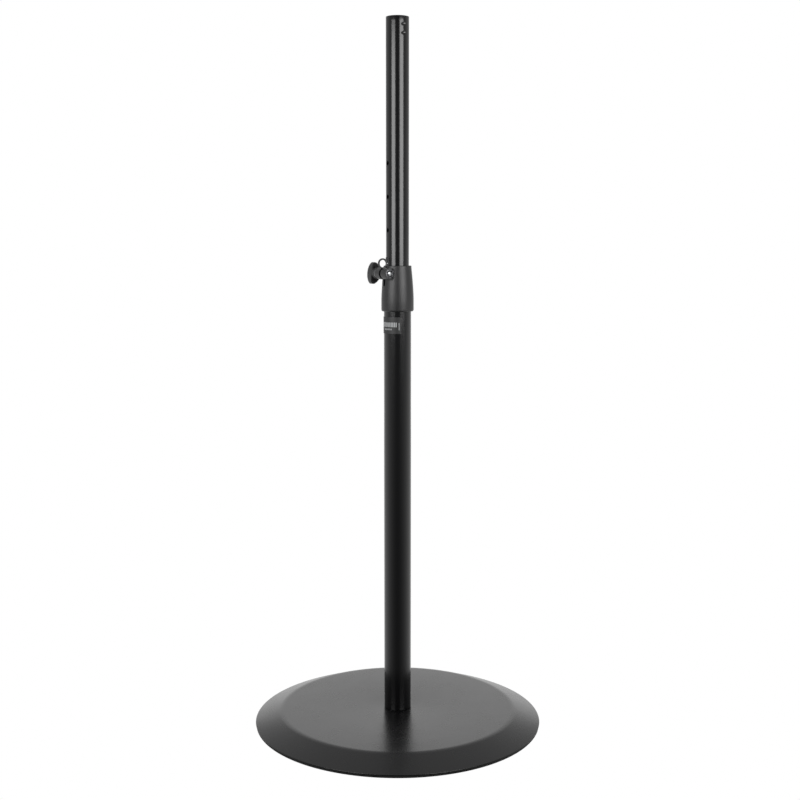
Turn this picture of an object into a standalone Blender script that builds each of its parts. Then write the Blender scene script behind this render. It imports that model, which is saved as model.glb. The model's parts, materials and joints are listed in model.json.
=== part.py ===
"""Telescopic floor stand: a heavy round base, two tubes, a clamp collar and a locking pin.

Blender 4.5, metres, +Z up. The origin is the middle of the underside, on the floor, and the tubes
stand on the Z axis. The clamp's own frame has +X out of the collar's slit and +Y towards the nut.
"""

import math

import bmesh
import bpy
from mathutils import Matrix, Vector

MM = 0.001
GAP = 0.3 * MM
CUT = 1 * MM

# Base
BASE_RADIUS = 225 * MM
PLATEAU_RADIUS = 184 * MM
PLATE_TOP = 21.5 * MM
PLATE_WALL = 8 * MM
PLATE_UNDERSIDE = 4 * MM
PLATE_SHOULDER_RADIUS = 25 * MM
PLATE_BORE_CLEARANCE = 0.5 * MM
RECESS_RADIUS = 182 * MM
RECESS_FOOT_RADIUS = 204 * MM
RECESS_CHAMFER = 2 * MM
RIM_HEIGHT = 1.6 * MM
RIM_ROUND = 1 * MM
RING_INNER_RADIUS = 214 * MM
RING_OUTER_RADIUS = 224.2 * MM
RING_CHAMFER = 1 * MM
RING_GROOVE_RADIUS = 216 * MM
RING_GROOVE_WIDTH = 3 * MM
RING_GROOVE_DEPTH = 2.2 * MM

# Base bolt, M10
BOLT_RADIUS = 5 * MM
BOLT_LENGTH = 35 * MM
BOLT_HEAD_HEIGHT = 6.4 * MM
BOLT_ACROSS_FLATS = 16 * MM
WASHER_RADIUS = 10.5 * MM
WASHER_THICKNESS = 2 * MM
SPRING_WASHER_RADIUS = 9 * MM
SPRING_WASHER_THICKNESS = 2.2 * MM
SPRING_WASHER_SPLIT = 1.6 * MM
THREAD_END_CHAMFER = 0.8 * MM

# Tubes
LOWER_RADIUS = 21 * MM
UPPER_RADIUS = 17.5 * MM
TUBE_WALL = 2 * MM
TUBE_EDGE = 0.4 * MM
LOWER_TOP = 690 * MM
STAND_HEIGHT = 1089 * MM
UPPER_LENGTH = 880 * MM
FOOT_PLUG_HEIGHT = 40 * MM
FOOT_THREAD_DEPTH = 29 * MM
PLUG_CHAMFER = 1 * MM
FOOT_DIMPLE_RISES = (9 * MM, 22.2 * MM)
FOOT_DIMPLE_RADIUS = 3.1 * MM
TOP_DIMPLE_DROPS = (12 * MM, 25 * MM)
TOP_DIMPLE_RADIUS = 3.7 * MM
DIMPLE_DEPTH = 1.4 * MM

# Clamp collar
CLAMP_AZIMUTH = math.radians(211)
COLLAR_BOTTOM = 651.2 * MM
COLLAR_TOP = 720.8 * MM
COLLAR_RADIUS = 24.8 * MM
COLLAR_TAPER_START = 668 * MM
COLLAR_TAPER = 3.6 * MM
COLLAR_TAPER_POWER = 1.5
COLLAR_TAPER_STEPS = 6
COLLAR_CHAMFER = 1.2 * MM
COLLAR_SHOULDER = 2 * MM
COLLAR_FOOT_ROUND = 2.6 * MM
SLIT_WIDTH = 4.6 * MM
SLIT_BOTTOM = 689.5 * MM
SCREW_REACH = 22.7 * MM
SCREW_HEIGHT = 709 * MM
EAR_RADIUS = 9 * MM
EAR_END = 16.6 * MM
EAR_CHAMFER = 0.6 * MM
STUD_RADIUS = 4 * MM
STUD_HOLE_RADIUS = 4.4 * MM
NUT_ACROSS_FLATS = 13 * MM
NUT_THICKNESS = 6.5 * MM
NUT_END = 16 * MM
STUD_END = 15.3 * MM
STUD_LENGTH = 45 * MM

# Knob
KNOB_WASHER_RADIUS = 8.4 * MM
KNOB_WASHER_THICKNESS = 1.2 * MM
KNOB_FLANGE_THICKNESS = 3.2 * MM
KNOB_FLANGE_CHAMFER = 0.5 * MM
KNOB_NECK_RADIUS = 8.2 * MM
KNOB_NECK_DEPTH = 3 * MM
WING_NEAR = 25 * MM
WING_FAR = 40.3 * MM
WING_SWEEP = 6.5 * MM
WING_HALF_LENGTH = 16.6 * MM
WING_HALF_WIDTH = 8.6 * MM
WING_TIP = 0.4 * MM
WING_CORNER = 1.5 * MM
WING_CORNER_SHARE = 0.6
WING_SLICES = 14
KNOB_LEAN = math.radians(6.5)

# Locking pin and the row of holes that it fits
PIN_RADIUS = 3 * MM
PIN_HEIGHT = COLLAR_TOP + PIN_RADIUS + GAP
PIN_TAIL = 19 * MM
PIN_CHAMFER = 0.6 * MM
PIN_SHOULDER = 17.2 * MM
PIN_NECK_RADIUS = 1.6 * MM
PIN_NECK_END = 19.7 * MM
HOLE_PITCH = 50 * MM
HOLES_BELOW = 6
HOLES_ABOVE = 3
FINGER_RING_CENTRE = 26.2 * MM
FINGER_RING_RADIUS = 8 * MM
FINGER_HOLE_RADIUS = 5.6 * MM
FINGER_RING_THICKNESS = 2.6 * MM
FINGER_RING_CHAMFER = 0.5 * MM
SADDLE_THICKNESS = 2.6 * MM
SADDLE_WIDTH = 7.4 * MM
SADDLE_HEIGHT = 12.4 * MM
SADDLE_STEPS = 6

# Bushes, top plug and label
BUSH_LENGTH = 58 * MM
BUSH_FLANGE = 2 * MM
BUSH_FLANGE_RADIUS = 20.8 * MM
GLIDE_LENGTH = 32 * MM
GLIDE_FLANGE = 9.7 * MM
GLIDE_BORE_RADIUS = 12 * MM
GLIDE_CHAMFER = 1 * MM
INSERT_LENGTH = 36 * MM
INSERT_THREAD_RADIUS = 4.3 * MM
INSERT_THREAD_DEPTH = 28 * MM
INSERT_CHAMFER = 0.6 * MM
LABEL_BOTTOM = 618 * MM
LABEL_HEIGHT = 25 * MM
LABEL_THICKNESS = 0.25 * MM
LABEL_HALF_ANGLE = math.radians(75)
LABEL_STEPS = 24

# How many steps each kind of round takes
ROUND_STEPS = 48
BASE_STEPS = 80
HUB_STEPS = 32
SMALL_STEPS = 24
HOLE_STEPS = 12


# ---------------------------------------------------------------- shapes

def arc(centre, radius, start, end, steps):
    """Points on a circle in the outline's plane, angles in degrees."""
    turn = math.radians(end - start) / steps
    angles = [math.radians(start) + turn * step for step in range(steps + 1)]
    return [(centre[0] + radius * math.cos(a), centre[1] + radius * math.sin(a)) for a in angles]


def turned(outline, steps=ROUND_STEPS):
    """A closed outline of (radius, height) points, spun about Z."""
    shape = bmesh.new()
    points = [shape.verts.new((radius, 0, height)) for radius, height in outline]
    pairs = zip(points, points[1:] + points[:1])
    edges = [shape.edges.new(pair) for pair in pairs if pair[0].co.x > 0 or pair[1].co.x > 0]
    bmesh.ops.spin(
        shape, geom=points + edges, axis=(0, 0, 1), cent=(0, 0, 0),
        angle=math.tau, steps=steps, use_merge=True,
    )
    bmesh.ops.remove_doubles(shape, verts=shape.verts, dist=0.001 * MM)
    bmesh.ops.recalc_face_normals(shape, faces=shape.faces)
    return shape


def tube(outer, inner, bottom, top, edge=0.0, steps=ROUND_STEPS):
    """A round tube whose four edges have a small chamfer."""
    return turned(
        [
            (outer - edge, top), (outer, top - edge), (outer, bottom + edge), (outer - edge, bottom),
            (inner + edge, bottom), (inner, bottom + edge), (inner, top - edge), (inner + edge, top),
        ] if edge else [(outer, top), (outer, bottom), (inner, bottom), (inner, top)],
        steps,
    )


def rod(radius, bottom, top, edge=0.0, steps=SMALL_STEPS):
    """A solid round bar with a small chamfer at both ends."""
    return turned(
        [(0, top), (radius - edge, top), (radius, top - edge), (radius, bottom + edge),
         (radius - edge, bottom), (0, bottom)] if edge
        else [(0, top), (radius, top), (radius, bottom), (0, bottom)],
        steps,
    )


def prism(points, bottom, top):
    """A flat outline of (x, y) points, raised along Z."""
    shape = bmesh.new()
    face = shape.faces.new([shape.verts.new((x, y, bottom)) for x, y in points])
    raised = bmesh.ops.extrude_face_region(shape, geom=[face])["geom"]
    corners = [item for item in raised if isinstance(item, bmesh.types.BMVert)]
    bmesh.ops.translate(shape, verts=corners, vec=(0, 0, top - bottom))
    bmesh.ops.recalc_face_normals(shape, faces=shape.faces)
    return shape


def hexagon(across_flats):
    """Six corners, two of them on the outline's second axis."""
    corner = across_flats / math.sqrt(3)
    angles = [math.tau * (k + 0.5) / 6 for k in range(6)]
    return [(corner * math.cos(angle), corner * math.sin(angle)) for angle in angles]


def box(low, high):
    corners = [(low[0], low[1]), (high[0], low[1]), (high[0], high[1]), (low[0], high[1])]
    return prism(corners, low[2], high[2])


def ball(radius, centre):
    shape = bmesh.new()
    bmesh.ops.create_uvsphere(shape, u_segments=14, v_segments=8, radius=radius)
    bmesh.ops.translate(shape, verts=shape.verts, vec=centre)
    return shape


def lofted(sections):
    """Skin a list of rings that have the same number of points, and close both ends."""
    shape = bmesh.new()
    rings = [[shape.verts.new(point) for point in ring] for ring in sections]
    for lower, upper in zip(rings, rings[1:]):
        for k in range(len(lower)):
            following = (k + 1) % len(lower)
            shape.faces.new((lower[k], lower[following], upper[following], upper[k]))
    shape.faces.new(rings[0])
    shape.faces.new(rings[-1])
    bmesh.ops.recalc_face_normals(shape, faces=shape.faces)
    return shape


def along_x(shape, centre=(0, 0, 0)):
    """Lay a shape that stands on Z along +X, with its origin at centre."""
    bmesh.ops.transform(shape, verts=shape.verts, matrix=Matrix.Rotation(math.pi / 2, 4, "Y"))
    bmesh.ops.translate(shape, verts=shape.verts, vec=centre)
    return shape


def along_y(shape, centre=(0, 0, 0)):
    """Lay a shape that stands on Z along +Y, with its origin at centre."""
    bmesh.ops.transform(shape, verts=shape.verts, matrix=Matrix.Rotation(-math.pi / 2, 4, "X"))
    bmesh.ops.translate(shape, verts=shape.verts, vec=centre)
    return shape


# ---------------------------------------------------------------- objects and materials

def material(name, colour, roughness, metallic=0.0):
    paint = bpy.data.materials.new(name)
    paint.use_nodes = True
    surface = paint.node_tree.nodes["Principled BSDF"]
    surface.inputs["Base Color"].default_value = (*colour, 1)
    surface.inputs["Roughness"].default_value = roughness
    surface.inputs["Metallic"].default_value = metallic
    return paint


def empty(name, location=(0, 0, 0), turn=0.0, parent=None):
    frame = bpy.data.objects.new(name, None)
    frame.location = location
    frame.rotation_euler.z = turn
    frame.parent = parent
    bpy.context.collection.objects.link(frame)
    return frame


def add(name, shape, surface=None, parent=None):
    """Turn a bmesh into a named object with its own material."""
    mesh = bpy.data.meshes.new(name)
    shape.to_mesh(mesh)
    shape.free()
    mesh.shade_smooth()
    mesh.set_sharp_from_angle(angle=math.radians(30))
    piece = bpy.data.objects.new(name, mesh)
    piece.parent = parent
    if surface:
        mesh.materials.append(surface)
    bpy.context.collection.objects.link(piece)
    return piece


def combine(piece, operation, name, shape):
    """Join a helper shape to a piece, or cut it away, with a Boolean."""
    helper = add(f"{name}_helper", shape, parent=piece.parent)
    helper.hide_render = True
    helper.display_type = "WIRE"
    boolean = piece.modifiers.new(name, "BOOLEAN")
    boolean.operation = operation
    boolean.solver = "EXACT"
    boolean.object = helper


def cut(piece, name, shape):
    combine(piece, "DIFFERENCE", name, shape)


def join(piece, name, shape):
    combine(piece, "UNION", name, shape)


def dimple(piece, name, tube_radius, mouth_radius, azimuth, height):
    """Press a shallow round crimp in a tube's wall."""
    press = (mouth_radius ** 2 + DIMPLE_DEPTH ** 2) / (2 * DIMPLE_DEPTH)
    reach = tube_radius - DIMPLE_DEPTH + press
    centre = (reach * math.cos(azimuth), reach * math.sin(azimuth), height)
    cut(piece, name, ball(press, centre))


# ---------------------------------------------------------------- base

def plate_outline():
    """Half section of the base plate, from its bolt hole round the top, the rim and the underside."""
    rim_top = PLATE_UNDERSIDE + RIM_HEIGHT
    rim_edge = BASE_RADIUS - RIM_ROUND
    slope = math.atan2(PLATE_TOP - rim_top, rim_edge - PLATEAU_RADIUS)
    shoulder_start = PLATEAU_RADIUS - PLATE_SHOULDER_RADIUS * math.tan(slope / 2)
    shoulder_centre = (shoulder_start, PLATE_TOP - PLATE_SHOULDER_RADIUS)
    recess_top = PLATE_TOP - PLATE_WALL
    bore = BOLT_RADIUS + PLATE_BORE_CLEARANCE
    groove_inner = RING_GROOVE_RADIUS - RING_GROOVE_WIDTH / 2
    groove_outer = RING_GROOVE_RADIUS + RING_GROOVE_WIDTH / 2
    return [
        (bore, PLATE_TOP),
        *arc(shoulder_centre, PLATE_SHOULDER_RADIUS, 90, 90 - math.degrees(slope), 3),
        (rim_edge, rim_top),
        (BASE_RADIUS - 0.3 * RIM_ROUND, rim_top - 0.5 * RIM_ROUND),
        (BASE_RADIUS, rim_top - RIM_ROUND),
        (BASE_RADIUS - 0.4 * RIM_ROUND, PLATE_UNDERSIDE),
        (groove_outer, PLATE_UNDERSIDE),
        (groove_outer, PLATE_UNDERSIDE + RING_GROOVE_DEPTH),
        (groove_inner, PLATE_UNDERSIDE + RING_GROOVE_DEPTH),
        (groove_inner, PLATE_UNDERSIDE),
        (RECESS_FOOT_RADIUS + RECESS_CHAMFER, PLATE_UNDERSIDE),
        (RECESS_FOOT_RADIUS, PLATE_UNDERSIDE + RECESS_CHAMFER),
        (RECESS_RADIUS, recess_top),
        (bore, recess_top),
    ]


def ring_outline():
    """Half section of the rubber ring, with the rib that sits in the plate's groove."""
    top = PLATE_UNDERSIDE - GAP
    rib_inner = RING_GROOVE_RADIUS - RING_GROOVE_WIDTH / 2 + GAP
    rib_outer = RING_GROOVE_RADIUS + RING_GROOVE_WIDTH / 2 - GAP
    rib_top = PLATE_UNDERSIDE + RING_GROOVE_DEPTH - GAP
    return [
        (RING_OUTER_RADIUS, top), (RING_OUTER_RADIUS, RING_CHAMFER), (RING_OUTER_RADIUS - RING_CHAMFER, 0),
        (RING_INNER_RADIUS + RING_CHAMFER, 0), (RING_INNER_RADIUS, RING_CHAMFER), (RING_INNER_RADIUS, top),
        (rib_inner, top), (rib_inner, rib_top), (rib_outer, rib_top), (rib_outer, top),
    ]


def make_base(cast_iron, rubber, zinc):
    add("base_plate", turned(plate_outline(), BASE_STEPS), cast_iron)
    add("base_edge_ring", turned(ring_outline(), BASE_STEPS), rubber)

    washer_top = PLATE_TOP - PLATE_WALL - GAP
    washer_bottom = washer_top - WASHER_THICKNESS
    bore = BOLT_RADIUS + GAP
    add("base_washer", tube(WASHER_RADIUS, bore, washer_bottom, washer_top, steps=SMALL_STEPS), zinc)

    spring_top = washer_bottom - GAP
    spring_bottom = spring_top - SPRING_WASHER_THICKNESS
    spring_ring = tube(SPRING_WASHER_RADIUS, bore, spring_bottom, spring_top, steps=SMALL_STEPS)
    spring_washer = add("base_spring_washer", spring_ring, zinc)
    half_split = SPRING_WASHER_SPLIT / 2
    split_low = (0, -half_split, spring_bottom - CUT)
    split_high = (SPRING_WASHER_RADIUS + CUT, half_split, spring_top + CUT)
    cut(spring_washer, "washer_split", box(split_low, split_high))

    head_top = spring_bottom - GAP
    bolt = add("base_bolt", prism(hexagon(BOLT_ACROSS_FLATS), head_top - BOLT_HEAD_HEIGHT, head_top), zinc)
    join(bolt, "bolt_shank", rod(BOLT_RADIUS, head_top - CUT, head_top + BOLT_LENGTH, THREAD_END_CHAMFER))


# ---------------------------------------------------------------- lower tube

def make_lower_tube(coated_steel, zinc, sticker):
    bottom = PLATE_TOP + GAP
    short_tube = tube(LOWER_RADIUS, LOWER_RADIUS - TUBE_WALL, bottom, LOWER_TOP, TUBE_EDGE)
    lower_tube = add("lower_tube", short_tube, coated_steel)
    for row, rise in enumerate(FOOT_DIMPLE_RISES):
        for side in (0, 1):
            name = f"foot_dimple_{row}_{side}"
            dimple(lower_tube, name, LOWER_RADIUS, FOOT_DIMPLE_RADIUS, side * math.pi, PLATE_TOP + rise)

    plug_radius = LOWER_RADIUS - TUBE_WALL - GAP
    thread_radius = BOLT_RADIUS + GAP
    thread_top = bottom + FOOT_THREAD_DEPTH
    top = bottom + FOOT_PLUG_HEIGHT
    plug_outline = [
        (0, top), (plug_radius - PLUG_CHAMFER, top), (plug_radius, top - PLUG_CHAMFER), (plug_radius, bottom),
        (thread_radius, bottom), (thread_radius, thread_top), (0, thread_top),
    ]
    add("foot_plug", turned(plug_outline), zinc)

    inner = LOWER_RADIUS + GAP
    outer = inner + LABEL_THICKNESS
    turns = [CLAMP_AZIMUTH + LABEL_HALF_ANGLE * (2 * k / LABEL_STEPS - 1) for k in range(LABEL_STEPS + 1)]
    outside = [(outer * math.cos(a), outer * math.sin(a)) for a in turns]
    inside = [(inner * math.cos(a), inner * math.sin(a)) for a in reversed(turns)]
    add("tube_label", prism(outside + inside, LABEL_BOTTOM, LABEL_BOTTOM + LABEL_HEIGHT), sticker)


# ---------------------------------------------------------------- clamp collar

def collar_outline():
    """Half section of the collar's outside: a taper above, a round foot below."""
    taper = []
    taper_height = COLLAR_TOP - COLLAR_SHOULDER - COLLAR_TAPER_START
    for step in range(COLLAR_TAPER_STEPS + 1):
        share = step / COLLAR_TAPER_STEPS
        height = COLLAR_TAPER_START + share * taper_height
        radius = COLLAR_RADIUS - COLLAR_TAPER * share ** COLLAR_TAPER_POWER
        taper.append((radius, height))
    foot_centre = (COLLAR_RADIUS - COLLAR_FOOT_ROUND, COLLAR_BOTTOM + COLLAR_FOOT_ROUND)
    return [
        (0, COLLAR_TOP),
        (taper[-1][0] - COLLAR_CHAMFER, COLLAR_TOP),
        *reversed(taper),
        *arc(foot_centre, COLLAR_FOOT_ROUND, 0, -90, 3),
        (0, COLLAR_BOTTOM),
    ]


def collar_bore_outline():
    """Half section of the collar's hollow: wide round the lower tube, narrow round the upper tube."""
    shoulder = LOWER_TOP + BUSH_FLANGE + 2 * GAP
    clamp_bore = UPPER_RADIUS + GAP
    return [
        (0, COLLAR_TOP + CUT), (clamp_bore, COLLAR_TOP + CUT), (clamp_bore, shoulder),
        (LOWER_RADIUS + GAP, shoulder), (LOWER_RADIUS + GAP, COLLAR_BOTTOM - CUT), (0, COLLAR_BOTTOM - CUT),
    ]


def slit_outline():
    """The slit seen along its depth: straight sides and a round lower end."""
    half = SLIT_WIDTH / 2
    round_end = arc((0, SLIT_BOTTOM + half), half, 180, 360, 4)
    return [(half, COLLAR_TOP + CUT), (-half, COLLAR_TOP + CUT), *round_end]


def make_collar(clamp, plastic, bush_plastic):
    collar = add("clamp_collar", turned(collar_outline()), plastic, clamp)
    screw = (SCREW_REACH, 0, SCREW_HEIGHT)
    join(collar, "clamp_ears", along_y(rod(EAR_RADIUS, -EAR_END, EAR_END, EAR_CHAMFER, HUB_STEPS), screw))
    cut(collar, "collar_bore", turned(collar_bore_outline()))
    slit = prism(slit_outline(), UPPER_RADIUS - CUT, SCREW_REACH + EAR_RADIUS + CUT)
    stand_up = Matrix(((0, 0, 1), (1, 0, 0), (0, 1, 0))).to_4x4()
    bmesh.ops.transform(slit, verts=slit.verts, matrix=stand_up)
    cut(collar, "collar_slit", slit)
    pocket_floor = NUT_END - NUT_THICKNESS - GAP
    pocket = prism(hexagon(NUT_ACROSS_FLATS + 2 * GAP), pocket_floor, EAR_END + CUT)
    cut(collar, "nut_pocket", along_y(pocket, screw))
    cut(collar, "stud_hole", along_y(rod(STUD_HOLE_RADIUS, -EAR_END - CUT, EAR_END + CUT), screw))

    sleeve_outer = LOWER_RADIUS - TUBE_WALL - GAP
    flange_bottom = LOWER_TOP + GAP
    sleeve_outline = [
        (BUSH_FLANGE_RADIUS, flange_bottom + BUSH_FLANGE), (BUSH_FLANGE_RADIUS, flange_bottom),
        (sleeve_outer, flange_bottom), (sleeve_outer, flange_bottom - BUSH_LENGTH),
        (UPPER_RADIUS + GAP, flange_bottom - BUSH_LENGTH), (UPPER_RADIUS + GAP, flange_bottom + BUSH_FLANGE),
    ]
    add("guide_bush", turned(sleeve_outline), bush_plastic, clamp)


def make_nut(clamp, black_zinc):
    screw = (SCREW_REACH, 0, SCREW_HEIGHT)
    blank = prism(hexagon(NUT_ACROSS_FLATS), NUT_END - NUT_THICKNESS, NUT_END)
    nut = add("clamp_nut", along_y(blank, screw), black_zinc, clamp)
    bore = rod(STUD_RADIUS + GAP, NUT_END - NUT_THICKNESS - CUT, NUT_END + CUT)
    cut(nut, "nut_bore", along_y(bore, screw))


# ---------------------------------------------------------------- clamp screw and knob

def wing_sections():
    """Rounded rectangles up the knob's wing: narrow at both tips, with the near side swept away there."""
    sections = []
    for step in range(WING_SLICES + 1):
        share = math.sin(math.pi * (step / WING_SLICES - 0.5))
        height = WING_HALF_LENGTH * share
        half_width = WING_HALF_WIDTH * math.sqrt(1 - (height / (WING_HALF_LENGTH + WING_TIP)) ** 2)
        near = WING_NEAR + WING_SWEEP * share ** 2
        corner = min(WING_CORNER, WING_CORNER_SHARE * half_width)
        ring = []
        for turn, side, depth in ((0, 1, WING_FAR), (90, -1, WING_FAR), (180, -1, near), (270, 1, near)):
            inward = -1 if depth == WING_FAR else 1
            centre = (side * (half_width - corner), depth + inward * corner)
            ring += [(x, -y, height) for x, y in arc(centre, corner, turn, turn + 90, 3)]
        sections.append(ring)
    return sections


def make_knob(carriage, knob_axis, plastic, zinc):
    washer_start = EAR_END + GAP
    flange_start = washer_start + KNOB_WASHER_THICKNESS + GAP
    washer = tube(
        KNOB_WASHER_RADIUS, STUD_RADIUS + GAP, -washer_start - KNOB_WASHER_THICKNESS, -washer_start,
        steps=SMALL_STEPS,
    )
    add("knob_washer", along_y(washer), zinc, carriage)

    knob = add("clamp_knob", lofted(wing_sections()), plastic, knob_axis)
    flange_end = flange_start + KNOB_FLANGE_THICKNESS
    neck_end = WING_NEAR + KNOB_NECK_DEPTH
    edge = KNOB_FLANGE_CHAMFER
    hub_outline = [
        (0, -flange_start), (EAR_RADIUS - edge, -flange_start), (EAR_RADIUS, -flange_start - edge),
        (EAR_RADIUS, -flange_end + edge), (EAR_RADIUS - edge, -flange_end), (KNOB_NECK_RADIUS, -flange_end),
        (KNOB_NECK_RADIUS, -neck_end), (0, -neck_end),
    ]
    join(knob, "knob_hub", along_y(turned(hub_outline, HUB_STEPS)))
    blind_end = STUD_LENGTH - STUD_END + GAP
    cut(knob, "stud_seat", along_y(rod(STUD_RADIUS + GAP, -blind_end, -flange_start + CUT)))

    stud = rod(STUD_RADIUS, STUD_END - STUD_LENGTH, STUD_END, THREAD_END_CHAMFER)
    add("clamp_stud", along_y(stud), zinc, knob_axis)


# ---------------------------------------------------------------- upper tube

def make_upper_tube(mast, coated_steel, zinc, bush_plastic):
    bottom = STAND_HEIGHT - UPPER_LENGTH
    inner = UPPER_RADIUS - TUBE_WALL
    long_tube = tube(UPPER_RADIUS, inner, bottom, STAND_HEIGHT, TUBE_EDGE)
    upper_tube = add("upper_tube", long_tube, coated_steel, mast)
    half_drill = UPPER_RADIUS + CUT
    for row in range(-HOLES_BELOW, HOLES_ABOVE + 1):
        drill = along_x(rod(PIN_RADIUS + GAP, -half_drill, half_drill, steps=HOLE_STEPS))
        turn = Matrix.Rotation(CLAMP_AZIMUTH, 4, "Z")
        lift = Matrix.Translation((0, 0, PIN_HEIGHT + row * HOLE_PITCH))
        bmesh.ops.transform(drill, verts=drill.verts, matrix=lift @ turn)
        cut(upper_tube, f"pin_holes_{row + HOLES_BELOW}", drill)
    for row, drop in enumerate(TOP_DIMPLE_DROPS):
        for side in (0, 1):
            azimuth = CLAMP_AZIMUTH + math.pi / 2 + side * math.pi
            name = f"top_dimple_{row}_{side}"
            dimple(upper_tube, name, UPPER_RADIUS, TOP_DIMPLE_RADIUS, azimuth, STAND_HEIGHT - drop)

    plug_radius = inner - GAP
    top = STAND_HEIGHT - GAP
    insert_outline = [
        (INSERT_THREAD_RADIUS + INSERT_CHAMFER, top), (plug_radius, top), (plug_radius, top - INSERT_LENGTH),
        (0, top - INSERT_LENGTH), (0, top - INSERT_THREAD_DEPTH),
        (INSERT_THREAD_RADIUS, top - INSERT_THREAD_DEPTH), (INSERT_THREAD_RADIUS, top - INSERT_CHAMFER),
    ]
    add("top_insert", turned(insert_outline), zinc, mast)

    glide_radius = LOWER_RADIUS - TUBE_WALL - GAP
    flange_top = bottom - GAP
    glide_bottom = flange_top - GLIDE_FLANGE
    glide_outline = [
        (plug_radius, glide_bottom + GLIDE_LENGTH), (plug_radius, flange_top),
        (glide_radius, flange_top), (glide_radius, glide_bottom + GLIDE_CHAMFER),
        (glide_radius - GLIDE_CHAMFER, glide_bottom), (GLIDE_BORE_RADIUS, glide_bottom),
        (GLIDE_BORE_RADIUS, glide_bottom + GLIDE_LENGTH),
    ]
    add("glide_bush", turned(glide_outline), bush_plastic, mast)


# ---------------------------------------------------------------- locking pin

def make_pin(pin_axis, zinc, plastic):
    pin_outline = [
        (0, PIN_NECK_END), (PIN_NECK_RADIUS, PIN_NECK_END), (PIN_NECK_RADIUS, PIN_SHOULDER),
        (PIN_RADIUS, PIN_SHOULDER), (PIN_RADIUS, PIN_CHAMFER - PIN_TAIL),
        (PIN_RADIUS - PIN_CHAMFER, -PIN_TAIL), (0, -PIN_TAIL),
    ]
    add("locking_pin", along_x(turned(pin_outline, SMALL_STEPS)), zinc, pin_axis)

    half = FINGER_RING_THICKNESS / 2
    band = tube(FINGER_RING_RADIUS, FINGER_HOLE_RADIUS, -half, half, FINGER_RING_CHAMFER, HUB_STEPS)
    ring = add("pin_ring", along_y(band, (FINGER_RING_CENTRE, 0, 0)), plastic, pin_axis)

    saddle_inner = UPPER_RADIUS + GAP
    half_width = SADDLE_WIDTH / 2
    outer_face = saddle_inner + SADDLE_THICKNESS
    reach = math.degrees(math.asin(half_width / saddle_inner))
    hollow = arc((0, 0), saddle_inner, -reach, reach, SADDLE_STEPS)
    footprint = [(outer_face, half_width), (outer_face, -half_width), *hollow]
    join(ring, "ring_saddle", prism(footprint, -PIN_RADIUS, SADDLE_HEIGHT - PIN_RADIUS))
    cut(ring, "pin_seat", along_x(rod(PIN_NECK_RADIUS + GAP, PIN_SHOULDER, PIN_NECK_END + GAP)))


# ---------------------------------------------------------------- the stand

def clear_scene():
    for thing in list(bpy.data.objects):
        bpy.data.objects.remove(thing, do_unlink=True)


def main():
    clear_scene()
    cast_iron = material("powder_coated_cast_iron", (0.012, 0.012, 0.013), 0.42)
    coated_steel = material("powder_coated_steel", (0.010, 0.010, 0.011), 0.3)
    rubber = material("black_rubber", (0.015, 0.015, 0.015), 0.8)
    plastic = material("glass_filled_nylon", (0.016, 0.016, 0.017), 0.5)
    bush_plastic = material("acetal_bush", (0.03, 0.03, 0.03), 0.45)
    zinc = material("zinc_plated_steel", (0.62, 0.62, 0.6), 0.3, 1.0)
    black_zinc = material("black_zinc_plated_steel", (0.09, 0.09, 0.095), 0.35, 1.0)
    sticker = material("printed_film", (0.03, 0.03, 0.03), 0.55)

    outward = Vector((math.cos(CLAMP_AZIMUTH), math.sin(CLAMP_AZIMUTH), 0))
    clamp = empty("clamp_frame", turn=CLAMP_AZIMUTH)
    screw_point = outward * SCREW_REACH + Vector((0, 0, SCREW_HEIGHT))
    carriage = empty("screw_travel_axis", screw_point, CLAMP_AZIMUTH)
    knob_axis = empty("knob_axis", parent=carriage)
    knob_axis.rotation_euler.y = -KNOB_LEAN
    mast = empty("mast_axis")
    pin_axis = empty("pin_axis", (0, 0, PIN_HEIGHT), CLAMP_AZIMUTH, mast)

    make_base(cast_iron, rubber, zinc)
    make_lower_tube(coated_steel, zinc, sticker)
    make_collar(clamp, plastic, bush_plastic)
    make_nut(clamp, black_zinc)
    make_knob(carriage, knob_axis, plastic, zinc)
    make_upper_tube(mast, coated_steel, zinc, bush_plastic)
    make_pin(pin_axis, zinc, plastic)


main()
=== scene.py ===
"""Telescopic floor stand: the finish of every piece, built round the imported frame.

Run as a script, it makes each piece in turn. The panel in the 3D view's sidebar lists the same steps.
Everything is in metres, +Z up, with the stand's axis on Z and its front towards -Y.
"""

import json
import math

import bmesh
import bpy
from bpy.props import FloatProperty, FloatVectorProperty, IntProperty, PointerProperty
from mathutils import Matrix, Vector


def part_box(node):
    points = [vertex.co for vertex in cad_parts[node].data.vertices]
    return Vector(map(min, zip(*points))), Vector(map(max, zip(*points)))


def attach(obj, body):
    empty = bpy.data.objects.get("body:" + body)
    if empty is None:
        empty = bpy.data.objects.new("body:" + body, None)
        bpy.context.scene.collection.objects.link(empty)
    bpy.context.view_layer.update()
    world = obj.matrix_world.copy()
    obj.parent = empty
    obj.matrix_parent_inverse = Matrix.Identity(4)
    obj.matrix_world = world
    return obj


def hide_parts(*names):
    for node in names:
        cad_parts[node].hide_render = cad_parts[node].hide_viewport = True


bl_info = {
    "name": "Telescopic floor stand",
    "version": (1, 0, 0),
    "blender": (4, 5, 0),
    "location": "3D View > Sidebar > Stand",
    "description": "Makes the finished pieces of a telescopic floor stand round its frame",
    "category": "Object",
}

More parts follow.
